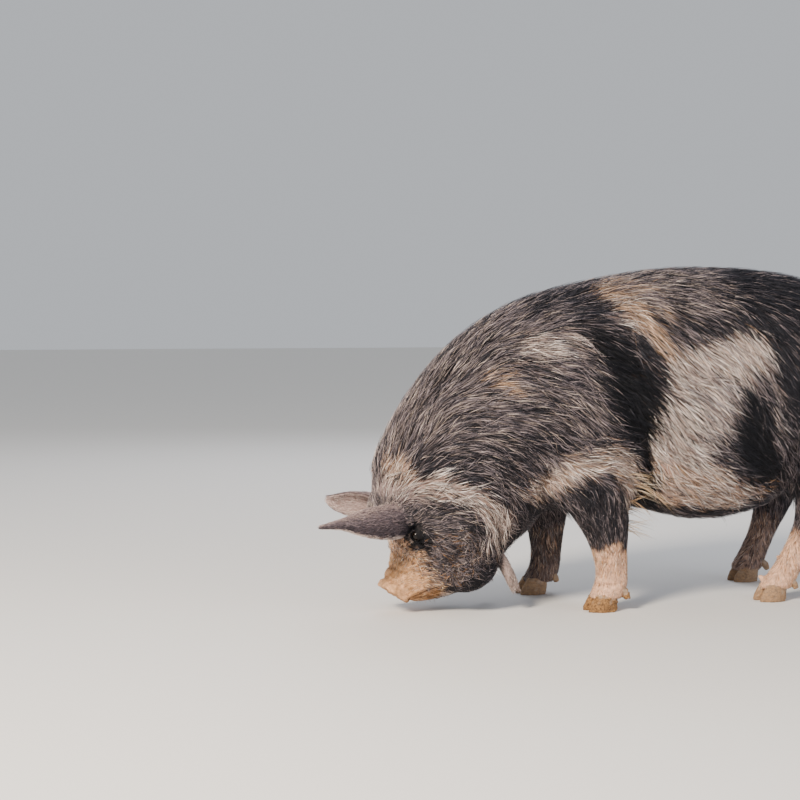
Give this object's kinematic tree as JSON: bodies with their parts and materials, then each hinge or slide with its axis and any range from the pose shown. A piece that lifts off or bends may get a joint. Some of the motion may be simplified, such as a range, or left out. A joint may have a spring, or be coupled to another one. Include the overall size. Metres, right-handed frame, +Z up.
{
  "type": "kunekune pig",
  "caption": "Life-size still model of a stocky black and cream pig with a long bristly coat, grazing with its head down.",
  "frame": {"origin": "on the floor, at the middle of the footprint of the whole animal's box", "axes": "+X towards the rump (the head and ears point towards -X), +Y towards the pig's right side, +Z up"},
  "size_m": [1.4339, 0.475, 0.74],
  "materials": {
    "torso": "dark coarse coat of long hair with pale and ginger patches",
    "neck": "dark coarse coat of long hair with a pale collar",
    "head": "short curly dark brown hair, tan on the muzzle",
    "snout": "bare tan-pink skin with dried mud",
    "ear_left": "thin skin with short grey-brown hair",
    "ear_right": "thin skin with short grey-brown hair",
    "eye_left": "wet dark brown",
    "eye_right": "wet dark brown",
    "wattle_left": "grey-pink skin with fine hair",
    "wattle_right": "grey-pink skin with fine hair",
    "tail": "dark hair",
    "leg_fore_left": "short hair, dark above and pale pink-tan below",
    "leg_fore_right": "short hair, dark above and pale pink-tan below",
    "leg_hind_left": "short hair, dark above and pale grey-pink below",
    "leg_hind_right": "short hair, dark above and pale grey-pink below",
    "toe_fore_left_inner": "brown horn with dried mud",
    "toe_fore_left_outer": "brown horn with dried mud",
    "toe_fore_right_inner": "brown horn with dried mud",
    "toe_fore_right_outer": "brown horn with dried mud",
    "toe_hind_left_inner": "brown horn with dried mud",
    "toe_hind_left_outer": "brown horn with dried mud",
    "toe_hind_right_inner": "brown horn with dried mud",
    "toe_hind_right_outer": "brown horn with dried mud",
    "dewclaw_fore_left_inner": "brown horn",
    "dewclaw_fore_left_outer": "brown horn",
    "dewclaw_fore_right_inner": "brown horn",
    "dewclaw_fore_right_outer": "brown horn",
    "dewclaw_hind_left_inner": "brown horn",
    "dewclaw_hind_left_outer": "brown horn",
    "dewclaw_hind_right_inner": "brown horn",
    "dewclaw_hind_right_outer": "brown horn"
  },
  "bodies": {
    "root": {"torso": "torso", "neck": "neck", "head": "head", "snout": "snout", "ear_left": "ear_left", "ear_right": "ear_right", "eye_left": "eye_left", "eye_right": "eye_right", "wattle_left": "wattle_left", "wattle_right": "wattle_right", "tail": "tail", "leg_fore_left": "leg_fore_left", "leg_fore_right": "leg_fore_right", "leg_hind_left": "leg_hind_left", "leg_hind_right": "leg_hind_right", "toe_fore_left_inner": "toe_fore_left_inner", "toe_fore_left_outer": "toe_fore_left_outer", "toe_fore_right_inner": "toe_fore_right_inner", "toe_fore_right_outer": "toe_fore_right_outer", "toe_hind_left_inner": "toe_hind_left_inner", "toe_hind_left_outer": "toe_hind_left_outer", "toe_hind_right_inner": "toe_hind_right_inner", "toe_hind_right_outer": "toe_hind_right_outer", "dewclaw_fore_left_inner": "dewclaw_fore_left_inner", "dewclaw_fore_left_outer": "dewclaw_fore_left_outer", "dewclaw_fore_right_inner": "dewclaw_fore_right_inner", "dewclaw_fore_right_outer": "dewclaw_fore_right_outer", "dewclaw_hind_left_inner": "dewclaw_hind_left_inner", "dewclaw_hind_left_outer": "dewclaw_hind_left_outer", "dewclaw_hind_right_inner": "dewclaw_hind_right_inner", "dewclaw_hind_right_outer": "dewclaw_hind_right_outer"}
  },
  "joints": []
}
